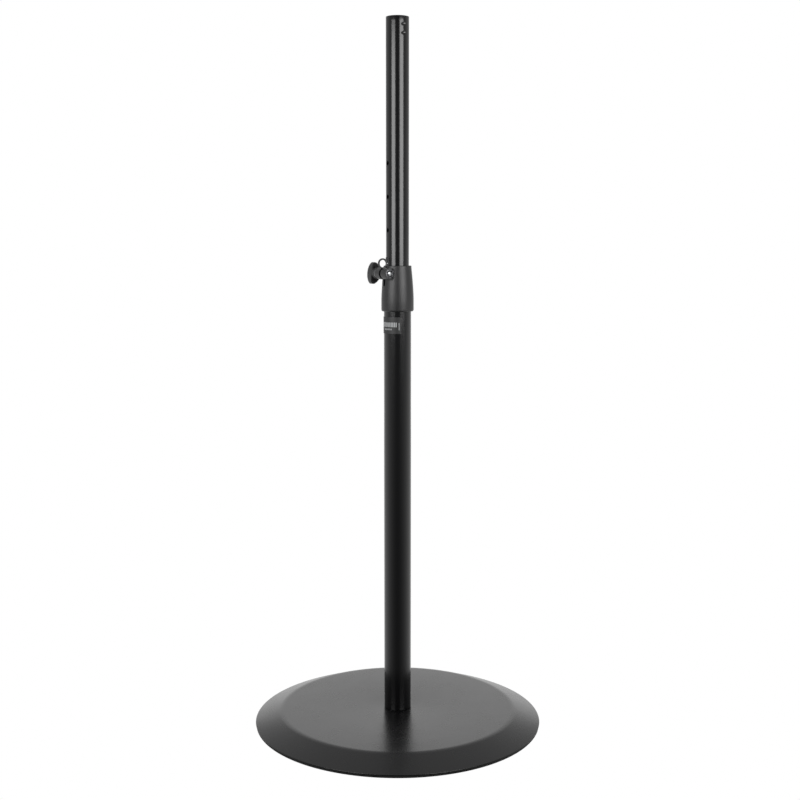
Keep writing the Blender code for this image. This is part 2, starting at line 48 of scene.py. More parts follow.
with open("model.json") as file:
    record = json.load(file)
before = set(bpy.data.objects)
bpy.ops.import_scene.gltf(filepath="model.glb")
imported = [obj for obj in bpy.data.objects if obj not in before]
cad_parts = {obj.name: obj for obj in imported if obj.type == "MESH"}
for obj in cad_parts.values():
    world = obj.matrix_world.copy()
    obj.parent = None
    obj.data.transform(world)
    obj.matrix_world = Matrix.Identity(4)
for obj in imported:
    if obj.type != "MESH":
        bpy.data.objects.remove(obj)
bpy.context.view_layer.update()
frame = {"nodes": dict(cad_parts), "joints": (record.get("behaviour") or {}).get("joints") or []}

MM = 0.001
GAP = 0.3 * MM
JOINTS = {joint["name"]: joint for joint in frame["joints"]}


def low(node):
    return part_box(node)[0]


def high(node):
    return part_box(node)[1]


# Where the clamp faces, and the screw's place, as the frame's joints give them
OUTWARD = Vector(JOINTS["pin_pull"]["axis"])
SCREW_POINT = Vector(JOINTS["knob_turn"]["pos_m"])
CLAMP_AZIMUTH = math.atan2(OUTWARD.y, OUTWARD.x)
SCREW_REACH = SCREW_POINT.xy.length
PIN_HEIGHT = (low("locking_pin").z + high("locking_pin").z) / 2

# Sides of the round pieces
BASE_SIDES = 256
TUBE_SIDES = 192
HUB_SIDES = 96
SCREW_SIDES = 48
THREAD_ROWS = 8

# Where nearly all of a noise pattern's values lie
PATTERN_MIDDLE = (0.3, 0.7)


# ---------------------------------------------------------------- what a user would change

def linear(code):
    """Linear red, green and blue of an sRGB hex code."""
    channels = [int(code[k:k + 2], 16) / 255 for k in (1, 3, 5)]
    return [c / 12.92 if c <= 0.04045 else ((c + 0.055) / 1.055) ** 2.4 for c in channels]


def length(name, description, default):
    return FloatProperty(name=name, description=description, default=default, unit="LENGTH", precision=4)


def colour(name, description, code):
    return FloatVectorProperty(
        name=name, description=description, default=linear(code), subtype="COLOR", size=3, min=0, max=1
    )


class StandSizes(bpy.types.PropertyGroup):
    """Sizes of the stand's pieces, in metres."""

    base_radius: length("Base radius", "Outer radius of the base plate", high("base_plate").x)
    base_height: length("Base height", "Height of the plate's flat top", high("base_plate").z)
    plateau_radius: length("Plateau radius", "Where the flat top turns into the slope", 184 * MM)
    shoulder_round: length("Shoulder round", "Radius of the bend between top and slope", 25 * MM)
    lower_radius: length("Lower tube radius", "Outer radius of the lower tube", high("lower_tube").x)
    upper_radius: length("Upper tube radius", "Outer radius of the upper tube", high("upper_tube").x)
    tube_wall: length("Tube wall", "Wall thickness of both tubes", 2 * MM)
    collar_radius: length("Collar radius", "Widest radius of the clamp collar", 24.8 * MM)
    hole_radius: length("Pin hole radius", "Radius of the holes for the locking pin", 3.3 * MM)
    hole_pitch: length("Pin hole pitch", "Distance from one pin hole to the next", 50 * MM)
    hole_count: IntProperty(
        name="Pin holes", description="Number of pin holes in each wall of the upper tube", default=10, min=1
    )
    wing_half_length: length("Wing half length", "Half of the knob's long side", 16.6 * MM)
    wing_half_width: length("Wing half width", "Half of the knob's width at its middle", 8.6 * MM)


class StandColours(bpy.types.PropertyGroup):
    """Colours of the stand's finishes."""

    base_coat: colour("Base coat", "Textured powder coat on the base plate", "#080809")
    tube_coat: colour("Tube coat", "Satin powder coat on both tubes", "#0b0b0c")
    moulding: colour("Moulding", "Glass-filled nylon of the collar, knob and finger ring", "#141415")
    rubber: colour("Rubber", "Ring that the stand rests on", "#111111")
    acetal: colour("Acetal", "Bushes between the tubes", "#1c1c1d")
    film: colour("Label film", "Ground colour of the label", "#101011")
    print_ink: colour("Label print", "Plain marks on the label", "#9c9d9e")
    zinc: colour("Zinc", "Plated steel of the fasteners", "#b2b4b5")
    black_zinc: colour("Black zinc", "Plated steel of the clamp nut", "#4a4a4c")


def sizes():
    return bpy.context.scene.stand_sizes


def colours():
    return bpy.context.scene.stand_colours


# ---------------------------------------------------------------- node trees

def add_node(tree, kind, settings=None, inputs=None):
    """Add a node. Inputs are values, or the outputs that they are linked from, by name or number."""
    made = tree.nodes.new(kind)
    for name, value in (settings or {}).items():
        setattr(made, name, value)
    for key, value in (inputs or {}).items():
        if isinstance(value, bpy.types.NodeSocket):
            tree.links.new(value, made.inputs[key])
        else:
            made.inputs[key].default_value = value
    return made


def new_finish(name):
    """An empty material, its tree and the object's own coordinates in it."""
    finish = bpy.data.materials.new(name)
    finish.use_nodes = True
    finish.node_tree.nodes.clear()
    place = add_node(finish.node_tree, "ShaderNodeTexCoord").outputs["Object"]
    return finish, finish.node_tree, place


def close_finish(tree, surface):
    add_node(tree, "ShaderNodeOutputMaterial", inputs={"Surface": surface})


def coat(finish, inputs):
    """Give a material a Principled surface with these inputs, and return it."""
    surface = add_node(finish.node_tree, "ShaderNodeBsdfPrincipled", inputs=inputs)
    close_finish(finish.node_tree, surface.outputs[0])
    return finish


def map_range(tree, value, start, end, first=0.0, last=1.0):
    """Turn start into first and end into last, and what lies between in proportion."""
    return add_node(tree, "ShaderNodeMapRange", inputs={
        "Value": value, "From Min": start, "From Max": end, "To Min": first, "To Max": last,
    }).outputs[0]


def grain(tree, place, size, detail=2.0, stretch=(1, 1, 1)):
    """Noise whose blotches are about the given size across, in metres."""
    stretched = add_node(tree, "ShaderNodeMapping", inputs={"Vector": place, "Scale": stretch})
    noise = add_node(
        tree, "ShaderNodeTexNoise",
        inputs={"Vector": stretched.outputs[0], "Scale": 0.5 / size, "Detail": detail, "Roughness": 0.5},
    )
    return noise.outputs["Fac"]


def spread(tree, value, low_value, high_value):
    """Turn the middle values of a pattern into the given range."""
    return map_range(tree, value, *PATTERN_MIDDLE, low_value, high_value)


def mottle(tree, value, base, share):
    """The base colour, darker and lighter by a share where the pattern is low and high."""
    dark = (*[c * (1 - share) for c in base], 1)
    light = (*[c * (1 + share) for c in base], 1)
    mixed = add_node(
        tree, "ShaderNodeMix", {"data_type": "RGBA"},
        {"Factor": spread(tree, value, 0, 1), 6: dark, 7: light},
    )
    return mixed.outputs[2]


def relief(tree, value, depth, under=None):
    """Bump of a real depth in metres, over another bump if one is given."""
    inputs = {"Height": value, "Distance": depth, "Strength": 1.0}
    if under:
        inputs["Normal"] = under
    return add_node(tree, "ShaderNodeBump", inputs=inputs).outputs[0]


# ---------------------------------------------------------------- finishes

def textured_powder_coat_on_cast_iron():
    """Cast iron, shot-blasted and sprayed with a fine sand-textured polyester powder.

    The baked powder stands in grains of about a millimetre, so a light breaks up into a soft sheen.
    """
    finish, tree, place = new_finish("textured_powder_coat_on_cast_iron")
    fine = grain(tree, place, 0.9 * MM, 3)
    broad = grain(tree, place, 14 * MM)
    texture = relief(tree, fine, 0.04 * MM)
    return coat(finish, {
        "Base Color": mottle(tree, fine, colours().base_coat, 0.25),
        "Roughness": spread(tree, broad, 0.25, 0.28),
        "Normal": relief(tree, broad, 0.008 * MM, under=texture),
        "IOR": 1.5,
    })


def satin_powder_coat_on_steel_tube():
    """Drawn steel tube with a smooth satin powder coat.

    The coat levels to a faint orange peel a few millimetres across, which softens the edges of highlights.
    """
    finish, tree, place = new_finish("satin_powder_coat_on_steel_tube")
    peel = grain(tree, place, 2.2 * MM)
    dust = grain(tree, place, 0.8 * MM, 3)
    return coat(finish, {
        "Base Color": mottle(tree, dust, colours().tube_coat, 0.15),
        "Roughness": spread(tree, peel, 0.17, 0.2),
        "Normal": relief(tree, peel, 0.003 * MM),
        "IOR": 1.5,
    })


def moulded_glass_filled_nylon():
    """Polyamide with short glass fibres, moulded in a spark-eroded tool.

    The tool leaves a fine matte grain, and fibres near the skin show as faint streaks along the flow.
    """
    finish, tree, place = new_finish("moulded_glass_filled_nylon")
    skin = grain(tree, place, 0.6 * MM, 3)
    fibres = grain(tree, place, 0.8 * MM, 2, stretch=(1, 1, 0.15))
    texture = relief(tree, skin, 0.02 * MM)
    return coat(finish, {
        "Base Color": mottle(tree, fibres, colours().moulding, 0.2),
        "Roughness": spread(tree, fibres, 0.40, 0.47),
        "Normal": relief(tree, fibres, 0.008 * MM, under=texture),
        "IOR": 1.53,
    })


def moulded_black_rubber():
    """Carbon-filled rubber from a press mould: a deep matte black that scatters light widely."""
    finish, tree, place = new_finish("moulded_black_rubber")
    skin = grain(tree, place, 0.8 * MM, 3)
    return coat(finish, {
        "Base Color": mottle(tree, skin, colours().rubber, 0.2),
        "Roughness": spread(tree, skin, 0.68, 0.8),
        "Normal": relief(tree, skin, 0.03 * MM),
        "IOR": 1.52,
    })


def turned_acetal():
    """Dark acetal bushes, moulded and then turned to size: slippery and slightly waxy, with faint rings."""
    finish, tree, place = new_finish("turned_acetal")
    rings = grain(tree, place, 0.7 * MM, 1, stretch=(0.05, 0.05, 1))
    return coat(finish, {
        "Base Color": mottle(tree, rings, colours().acetal, 0.15),
        "Roughness": spread(tree, rings, 0.34, 0.44),
        "Normal": relief(tree, rings, 0.01 * MM),
        "IOR": 1.48,
    })


def bright_zinc_plated_steel():
    """Machined steel with bright zinc plate: a cool mirror broken up by tool marks and cloudy passivation."""
    finish, tree, place = new_finish("bright_zinc_plated_steel")
    cloud = grain(tree, place, 3 * MM)
    marks = grain(tree, place, 0.25 * MM, 2)
    return coat(finish, {
        "Base Color": mottle(tree, cloud, colours().zinc, 0.12),
        "Metallic": 1.0,
        "Roughness": spread(tree, cloud, 0.28, 0.42),
        "Normal": relief(tree, marks, 0.004 * MM),
    })


def black_zinc_plated_steel():
    """Machined steel with a black passivated zinc plate: a dark, slightly smoky metal."""
    finish, tree, place = new_finish("black_zinc_plated_steel")
    cloud = grain(tree, place, 2 * MM)
    marks = grain(tree, place, 0.25 * MM, 2)
    return coat(finish, {
        "Base Color": mottle(tree, cloud, colours().black_zinc, 0.15),
        "Metallic": 1.0,
        "Roughness": spread(tree, cloud, 0.3, 0.42),
        "Normal": relief(tree, marks, 0.004 * MM),
    })


def matte_polyester_film():
    """Black polyester label film with a matte top coat, smoother than the moulding above it."""
    finish, tree, place = new_finish("matte_polyester_film")
    skin = grain(tree, place, 0.5 * MM, 2)
    return coat(finish, {
        "Base Color": mottle(tree, skin, colours().film, 0.12),
        "Roughness": spread(tree, skin, 0.5, 0.56),
        "Normal": relief(tree, skin, 0.003 * MM),
        "IOR": 1.58,
    })


def screen_printed_ink():
    """Light grey screen ink: a thin opaque layer, slightly uneven where the mesh laid it down."""
    finish, tree, place = new_finish("screen_printed_ink")
    mesh_marks = grain(tree, place, 0.4 * MM, 2)
    return coat(finish, {
        "Base Color": mottle(tree, mesh_marks, colours().print_ink, 0.1),
        "Roughness": spread(tree, mesh_marks, 0.5, 0.6),
        "IOR": 1.5,
    })


def finish_of(make):
    """The material that a finish function makes, made once."""
    return bpy.data.materials.get(make.__name__) or make()


# ---------------------------------------------------------------- outlines and shapes

def rounded(corners, steps=6):
    """A closed outline of (x, y, radius) corners, each turned with an arc where it has a radius."""
    outline = []
    for k, (x, y, radius) in enumerate(corners):
        here = Vector((x, y))
        if not radius:
            outline.append((x, y))
            continue
        back = (Vector(corners[k - 1][:2]) - here).normalized()
        ahead = (Vector(corners[(k + 1) % len(corners)][:2]) - here).normalized()
        half = back.angle(ahead) / 2
        start = here + back * radius / math.tan(half)
        end = here + ahead * radius / math.tan(half)
        centre = here + (back + ahead).normalized() * radius / math.sin(half)
        first = math.atan2(*reversed(start - centre))
        sweep = math.remainder(math.atan2(*reversed(end - centre)) - first, math.tau)
        for step in range(steps + 1):
            angle = first + sweep * step / steps
            outline.append((centre.x + radius * math.cos(angle), centre.y + radius * math.sin(angle)))
    return outline


def heights(start, end, spacing):
    """Evenly spaced heights between two heights, both left out."""
    count = max(1, round((end - start) / spacing))
    return [start + (end - start) * k / count for k in range(1, count)]


def turned(outline, sides):
    """A closed outline of (radius, height) points, spun about Z into a closed shape."""
    shape = bmesh.new()
    points = [shape.verts.new((radius, 0, height)) for radius, height in outline]
    pairs = zip(points, points[1:] + points[:1])
    edges = [shape.edges.new(pair) for pair in pairs if pair[0].co.x > 0 or pair[1].co.x > 0]
    bmesh.ops.spin(
        shape, geom=points + edges, axis=(0, 0, 1), cent=(0, 0, 0), angle=math.tau, steps=sides,
        use_merge=True,
    )
    bmesh.ops.remove_doubles(shape, verts=shape.verts, dist=0.0005 * MM)
    bmesh.ops.recalc_face_normals(shape, faces=shape.faces)
    return shape


def prism(points, bottom, top):
    """A flat outline of (x, y) points, raised along Z."""
    return lofted([[(x, y, height) for x, y in points] for height in (bottom, top)])


def lofted(sections):
    """Skin a list of rings that have the same number of points, and close both ends."""
    shape = bmesh.new()
    rings = [[shape.verts.new(point) for point in ring] for ring in sections]
    for lower, upper in zip(rings, rings[1:]):
        for k in range(len(lower)):
            following = (k + 1) % len(lower)
            shape.faces.new((lower[k], lower[following], upper[following], upper[k]))
    shape.faces.new(rings[0])
    shape.faces.new(rings[-1])
    bmesh.ops.recalc_face_normals(shape, faces=shape.faces)
    return shape


def hexagon(across_flats):
    corner = across_flats / math.sqrt(3)
    angles = [math.tau * (k + 0.5) / 6 for k in range(6)]
    return [(corner * math.cos(angle), corner * math.sin(angle)) for angle in angles]


def rod(radius, bottom, top, edge=0.0, sides=SCREW_SIDES):
    """A round bar with both ends rounded off by a small edge radius."""
    return turned(rounded([(0, top, 0), (radius, top, edge), (radius, bottom, edge), (0, bottom, 0)]), sides)


def ring_outline(inner, outer, under, over, edge, steps):
    """Section of a flat ring whose four edges are rounded."""
    corners = [(inner, over), (outer, over), (outer, under), (inner, under)]
    return rounded([(radius, height, edge) for radius, height in corners], steps)


def placed(shape, matrix):
    bmesh.ops.transform(shape, verts=shape.verts, matrix=matrix)
    return shape


# The clamp's own frame has +X out of its slit. The screw's has +X out, +Y up and +Z towards the knob.
CLAMP = Matrix.Rotation(CLAMP_AZIMUTH, 4, "Z")
ACROSS = CLAMP @ Matrix.Rotation(math.pi / 2, 4, "X")
SCREW = Matrix.Translation(SCREW_POINT) @ ACROSS
PIN = Matrix.Translation((0, 0, PIN_HEIGHT)) @ ACROSS


# ---------------------------------------------------------------- objects

def new_object(name, data):
    made = bpy.data.objects.new(name, data)
    bpy.context.scene.collection.objects.link(made)
    return made


def add(name, shape, finish, crease=30):
    """Turn a bmesh into an object that is smooth except across edges sharper than the crease angle."""
    mesh = bpy.data.meshes.new(name)
    shape.to_mesh(mesh)
    shape.free()
    mesh.materials.append(finish)
    mesh.shade_smooth()
    mesh.set_sharp_from_angle(angle=math.radians(crease))
    return new_object(name, mesh)


def settle(piece, crease=30):
    """Apply everything on a piece and drop its modifiers, so that it is a plain mesh."""
    depsgraph = bpy.context.evaluated_depsgraph_get()
    mesh = bpy.data.meshes.new_from_object(piece.evaluated_get(depsgraph), depsgraph=depsgraph)
    old, finish = piece.data, piece.data.materials[0]
    piece.modifiers.clear()
    piece.data = mesh
    bpy.data.meshes.remove(old)
    mesh.name = piece.name
    mesh.materials.clear()
    mesh.materials.append(finish)
    for face in mesh.polygons:
        face.material_index = 0
    mesh.shade_smooth()
    mesh.set_sharp_from_angle(angle=math.radians(crease))
    return piece


def carve(piece, tools, crease=30):
    """Join, cut or trim a piece with a list of (operation, shape) tools, one after the other."""
    helpers = []
    for operation, shape in tools:
        helper = add("carving_tool", shape, piece.data.materials[0])
        boolean = piece.modifiers.new("carve", "BOOLEAN")
        boolean.operation = operation
        boolean.solver = "EXACT"
        boolean.object = helper
        helpers.append(helper)
    settle(piece, crease)
    for helper in helpers:
        mesh = helper.data
        bpy.data.objects.remove(helper)
        bpy.data.meshes.remove(mesh)
    return piece


def move_mesh(piece, matrix):
    piece.data.transform(matrix)
    piece.data.update()
    return piece


def hand_over(piece, body, slot, *nodes):
    """The piece moves with a body and stands for these CAD nodes. The slot is not used."""
    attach(piece, body)
    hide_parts(*nodes)


# ---------------------------------------------------------------- Geometry Nodes

def new_tree(name, sockets):
    """A geometry tree with a mesh input and named inputs. Returns it with its inputs' sockets."""
    tree = bpy.data.node_groups.new(name, "GeometryNodeTree")
    tree.interface.new_socket("Geometry", in_out="INPUT", socket_type="NodeSocketGeometry")
    for socket, kind in sockets.items():
        tree.interface.new_socket(socket, in_out="INPUT", socket_type=kind)
    tree.interface.new_socket("Material", in_out="INPUT", socket_type="NodeSocketMaterial")
    tree.interface.new_socket("Geometry", in_out="OUTPUT", socket_type="NodeSocketGeometry")
    return tree, add_node(tree, "NodeGroupInput").outputs


def close_tree(tree, given, geometry):
    """End a tree in Realize Instances and Set Material."""
    real = add_node(tree, "GeometryNodeRealizeInstances", inputs={"Geometry": geometry})
    painted = add_node(
        tree, "GeometryNodeSetMaterial",
        inputs={"Geometry": real.outputs[0], "Material": given["Material"]},
    )
    add_node(tree, "NodeGroupOutput", inputs={"Geometry": painted.outputs[0]})
    return tree


def grow(piece, tree, values, crease=30):
    """Run a geometry tree on a piece with these values and keep the result as a plain mesh."""
    modifier = piece.modifiers.new(tree.name, "NODES")
    modifier.node_group = tree
    given = {**values, "Material": piece.data.materials[0]}
    for item in tree.interface.items_tree:
        if item.in_out == "INPUT" and item.name in given:
            modifier[item.identifier] = given[item.name]
    return settle(piece, crease)


def arithmetic(tree, operation, *values):
    """A Math node on numbers or outputs."""
    return add_node(tree, "ShaderNodeMath", {"operation": operation}, dict(enumerate(values))).outputs[0]


def thread_tree():
    """Cuts a right-hand V thread in a turned side of a given radius, between two heights on Z.

    A negative depth cuts it outwards, in a bore.
    """
    made = bpy.data.node_groups.get("v_thread")
    if made:
        return made
    number = "NodeSocketFloat"
    names = ("Radius", "Pitch", "Depth", "Start", "End")
    tree, given = new_tree("v_thread", {name: number for name in names})
    radius, pitch, depth, start, end = [given[name] for name in names]
    position = add_node(tree, "GeometryNodeInputPosition").outputs[0]
    x, y, z = add_node(tree, "ShaderNodeSeparateXYZ", inputs={0: position}).outputs

    def maths(operation, *values):
        return arithmetic(tree, operation, *values)

    here = maths("POWER", maths("ADD", maths("MULTIPLY", x, x), maths("MULTIPLY", y, y)), 0.5)
    turn = maths("DIVIDE", maths("ARCTAN2", y, x), math.tau)
    phase = maths("SUBTRACT", maths("DIVIDE", z, pitch), turn)
    wave = maths("PINGPONG", phase, 0.5)
    on_side = maths("COMPARE", here, radius, 0.01 * MM)
    run_in = map_range(tree, z, start, maths("ADD", start, pitch))
    run_out = map_range(tree, z, end, maths("SUBTRACT", end, pitch))
    share = maths("MULTIPLY", maths("MULTIPLY", wave, 2.0), on_side)
    share = maths("MULTIPLY", share, maths("MULTIPLY", run_in, run_out))
    scale = maths("SUBTRACT", 1.0, maths("DIVIDE", maths("MULTIPLY", share, depth), radius))
    moved = add_node(tree, "ShaderNodeCombineXYZ", inputs={
        0: maths("MULTIPLY", x, scale), 1: maths("MULTIPLY", y, scale), 2: z})
    threaded = add_node(tree, "GeometryNodeSetPosition", inputs={
        "Geometry": given["Geometry"], "Position": moved.outputs[0]})
    return close_tree(tree, given, threaded.outputs[0])


def hole_row_tree():
    """Drills a row of round holes through both walls of a tube that stands on Z."""
    tree, given = new_tree("pin_hole_row", {
        "Count": "NodeSocketInt", "Pitch": "NodeSocketFloat", "First Height": "NodeSocketFloat",
        "Hole Radius": "NodeSocketFloat", "Drill Length": "NodeSocketFloat", "Azimuth": "NodeSocketFloat",
    })
    first = add_node(tree, "ShaderNodeCombineXYZ", inputs={"Z": given["First Height"]})
    step = add_node(tree, "ShaderNodeCombineXYZ", inputs={"Z": given["Pitch"]})
    row = add_node(tree, "GeometryNodeMeshLine", {"mode": "OFFSET"}, {
        "Count": given["Count"], "Start Location": first.outputs[0], "Offset": step.outputs[0]})
    drill = add_node(tree, "GeometryNodeMeshCylinder", inputs={
        "Vertices": SCREW_SIDES, "Radius": given["Hole Radius"], "Depth": given["Drill Length"],
    })
    turn = add_node(tree, "ShaderNodeCombineXYZ", inputs={"Y": math.pi / 2, "Z": given["Azimuth"]})
    drills = add_node(tree, "GeometryNodeInstanceOnPoints", inputs={
        "Points": row.outputs[0], "Instance": drill.outputs[0], "Rotation": turn.outputs[0]})
    real_drills = add_node(tree, "GeometryNodeRealizeInstances", inputs={"Geometry": drills.outputs[0]})
    drilled = add_node(tree, "GeometryNodeMeshBoolean", {"operation": "DIFFERENCE", "solver": "EXACT"}, {
        "Mesh 1": given["Geometry"], "Mesh 2": real_drills.outputs[0]})
    return close_tree(tree, given, drilled.outputs[0])


def mark_row_tree():
    """Lays a row of upright bars round a cylinder that stands on Z, each one bent to its curve."""
    tree, given = new_tree("label_mark_row", {
        "Count": "NodeSocketInt", "Radius": "NodeSocketFloat", "First Azimuth": "NodeSocketFloat",
        "Step": "NodeSocketFloat", "Bar Width": "NodeSocketFloat", "Bar Height": "NodeSocketFloat",
        "Bar Thickness": "NodeSocketFloat", "Middle Height": "NodeSocketFloat",
    })
    bar_size = add_node(tree, "ShaderNodeCombineXYZ", inputs={
        "X": given["Bar Thickness"], "Y": given["Bar Width"], "Z": given["Bar Height"]})
    bar = add_node(tree, "GeometryNodeMeshCube", inputs={"Size": bar_size.outputs[0], "Vertices Y": 5})
    first = add_node(tree, "ShaderNodeCombineXYZ", inputs={
        "X": given["Radius"], "Z": given["Middle Height"]})
    step = add_node(tree, "ShaderNodeCombineXYZ", inputs={"Y": given["Step"]})
    row = add_node(tree, "GeometryNodeMeshLine", {"mode": "OFFSET"}, {
        "Count": given["Count"], "Start Location": first.outputs[0], "Offset": step.outputs[0]})
    bars = add_node(tree, "GeometryNodeInstanceOnPoints", inputs={
        "Points": row.outputs[0], "Instance": bar.outputs[0]})
    real = add_node(tree, "GeometryNodeRealizeInstances", inputs={"Geometry": bars.outputs[0]})
    position = add_node(tree, "GeometryNodeInputPosition").outputs[0]
    across, along, up = add_node(tree, "ShaderNodeSeparateXYZ", inputs={0: position}).outputs
    angle = arithmetic(tree, "ADD", arithmetic(tree, "DIVIDE", along, given["Radius"]),
                       given["First Azimuth"])
    bent = add_node(tree, "ShaderNodeCombineXYZ", inputs={
        0: arithmetic(tree, "MULTIPLY", across, arithmetic(tree, "COSINE", angle)),
        1: arithmetic(tree, "MULTIPLY", across, arithmetic(tree, "SINE", angle)),
        2: up,
    })
    wrapped = add_node(tree, "GeometryNodeSetPosition", inputs={
        "Geometry": real.outputs[0], "Position": bent.outputs[0]})
    return close_tree(tree, given, wrapped.outputs[0])


def cut_thread(piece, radius, pitch, depth, start, end):
    values = {"Radius": radius, "Pitch": pitch, "Depth": depth, "Start": start, "End": end}
    return grow(piece, thread_tree(), values, crease=80)


# ---------------------------------------------------------------- base

def make_base_plate():
    """Cast plate: flat top, soft shoulder, long slope, and a recess with a sloping wall below."""
    outer, top = sizes().base_radius, sizes().base_height
    foot = low("base_plate").z
    groove_in, groove_out, groove_top = 214.5 * MM, 217.5 * MM, foot + 2.2 * MM
    slope_drop, wall, bore = 16.3 * MM, 8 * MM, 5.5 * MM
    recess_top = top - wall
    outline = rounded([
        (bore, top, 0.4 * MM), (sizes().plateau_radius, top, sizes().shoulder_round),
        (outer, top - slope_drop, 0.9 * MM), (outer, foot, 0.4 * MM),
        (groove_out, foot, 0), (groove_out, groove_top, 0), (groove_in, groove_top, 0), (groove_in, foot, 0),
        (206 * MM, foot, 1 * MM), (203 * MM, foot + 2.4 * MM, 2 * MM), (182 * MM, recess_top, 6 * MM),
        (bore, recess_top, 0.4 * MM),
    ], steps=10)
    finish = finish_of(textured_powder_coat_on_cast_iron)
    plate = add("cast_base_plate", turned(outline, BASE_SIDES), finish)
    hand_over(plate, "root", "base_coat", "base_plate")


def make_floor_ring():
    """Rubber ring with a rounded foot and the rib that holds it in the plate's groove."""
    top, rib_top = low("base_plate").z - GAP, high("base_edge_ring").z
    inner, outer = 214 * MM, high("base_edge_ring").x
    rib_in, rib_out = 214.8 * MM, 217.2 * MM
    outline = rounded([
        (outer, top, 0.5 * MM), (outer, 0, 1 * MM), (inner, 0, 1 * MM), (inner, top, 0.5 * MM),
        (rib_in, top, 0), (rib_in, rib_top, 0.6 * MM), (rib_out, rib_top, 0.6 * MM), (rib_out, top, 0),
    ])
    ring = add("rubber_floor_ring", turned(outline, BASE_SIDES), finish_of(moulded_black_rubber))
    hand_over(ring, "root", "edge_rubber", "base_edge_ring")


def hex_trimmed(piece, across_flats, bottom, top, crease=30):
    """Trim a round head to a hexagon, which leaves its turned chamfer on the six corners."""
    return carve(piece, [("INTERSECT", prism(hexagon(across_flats), bottom - MM, top + MM))], crease)


def make_base_fasteners():
    """Hexagon bolt with an M10 thread, and its flat and split washers."""
    zinc = finish_of(bright_zinc_plated_steel)
    bottom, top = low("base_bolt").z, high("base_bolt").z
    seat = high("base_spring_washer").z - 2.5 * MM
    corner, across_flats, shank, pitch = 9.24 * MM, 16 * MM, 5 * MM, 1.5 * MM
    plain_length = 9 * MM
    thread_start = seat + plain_length
    side = [(shank, height) for height in heights(thread_start, top - MM, pitch / THREAD_ROWS)]
    outline = [
        (0, top), (shank - 0.9 * MM, top), (shank, top - MM), *reversed(side), (shank, thread_start),
        (shank, seat), (corner, seat), (corner, bottom + 0.6 * MM), (corner - 1.3 * MM, bottom), (0, bottom),
    ]
    bolt = add("hex_base_bolt", turned(outline, SCREW_SIDES), zinc)
    cut_thread(bolt, shank, pitch, 0.8 * MM, thread_start, top - 0.5 * MM)
    hex_trimmed(bolt, across_flats, bottom, top, 40)
    hand_over(bolt, "root", "zinc_steel", "base_bolt")

    bore, washer_edge = 5.3 * MM, 0.25 * MM
    for name, node, outer in (
        ("flat_base_washer", "base_washer", 10.5 * MM), ("split_base_washer", "base_spring_washer", 9 * MM),
    ):
        under, over = low(node).z, high(node).z
        outline = ring_outline(bore, outer, under, over, washer_edge, 3)
        washer = add(name, turned(outline, HUB_SIDES), zinc)
        if name == "split_base_washer":
            lean = Matrix.Rotation(math.radians(20), 4, "X")
            middle = Matrix.Translation((7 * MM, 0, (under + over) / 2))
            reach, half_split = 4 * MM, 0.7 * MM
            corners = [(-reach, -half_split), (reach, -half_split), (reach, half_split), (-reach, half_split)]
            slot_cut = prism(corners, -reach, reach)
            carve(washer, [("DIFFERENCE", placed(slot_cut, middle @ lean))])
        hand_over(washer, "root", "zinc_steel", node)


# ---------------------------------------------------------------- tubes

def press_dimples(shape, radius, dimples, mouth, depth, flat):
    """Push crimps into a tube's outer wall at (azimuth, height).

    Mouth is half their width, and flat is their height as a share of their width.
    """
    for vertex in shape.verts:
        if abs(vertex.co.xy.length - radius) > 0.01 * MM:
            continue
        for azimuth, height in dimples:
            turn = math.remainder(math.atan2(vertex.co.y, vertex.co.x) - azimuth, math.tau)
            share = math.hypot(radius * turn, (vertex.co.z - height) / flat) / mouth
            if share < 1:
                push = depth * (1 - share ** 2) ** 1.2
                vertex.co.xy *= (radius - push) / radius
                break


def pressed_tube(radius, bottom, top, dimples, mouth, depth, flat=1.0):
    """A tube with rounded ends whose outer wall has rows fine enough for its crimps."""
    inner, edge = radius - sizes().tube_wall, 0.5 * MM
    plain_rows, crimp_rows, margin = 30 * MM, 0.5 * MM, 0.6 * MM
    rows = {round(height, 7) for height in heights(bottom + MM, top - MM, plain_rows)}
    for _, middle in dimples:
        rows -= {height for height in rows if abs(height - middle) < mouth + MM}
    for _, middle in dimples:
        fine = heights(middle - mouth - margin, middle + mouth + margin, crimp_rows)
        rows |= {round(height, 7) for height in fine}
    outline = rounded([
        (inner, bottom, edge), (inner, top, edge), (radius, top, edge),
        *[(radius, height, 0) for height in sorted(rows, reverse=True)], (radius, bottom, edge),
    ], 4)
    shape = turned(outline, TUBE_SIDES)
    press_dimples(shape, radius, dimples, mouth, depth, flat)
    return shape


def make_lower_tube():
    """Lower tube with two crimps on each side of its foot, over the threaded plug."""
    bottom, top = low("lower_tube").z, high("lower_tube").z
    plate_top = sizes().base_height
    rises = (9 * MM, 22.2 * MM)
    dimples = [(side * math.pi, plate_top + rise) for rise in rises for side in (0, 1)]
    shape = pressed_tube(sizes().lower_radius, bottom, top, dimples, mouth=3.2 * MM, depth=1.4 * MM)
    tube = add("lower_stand_tube", shape, finish_of(satin_powder_coat_on_steel_tube), 35)
    hand_over(tube, "root", "tube_coat", "lower_tube")
    plug = frame["nodes"]["foot_plug"]
    plug.data.materials.clear()
    plug.data.materials.append(finish_of(bright_zinc_plated_steel))


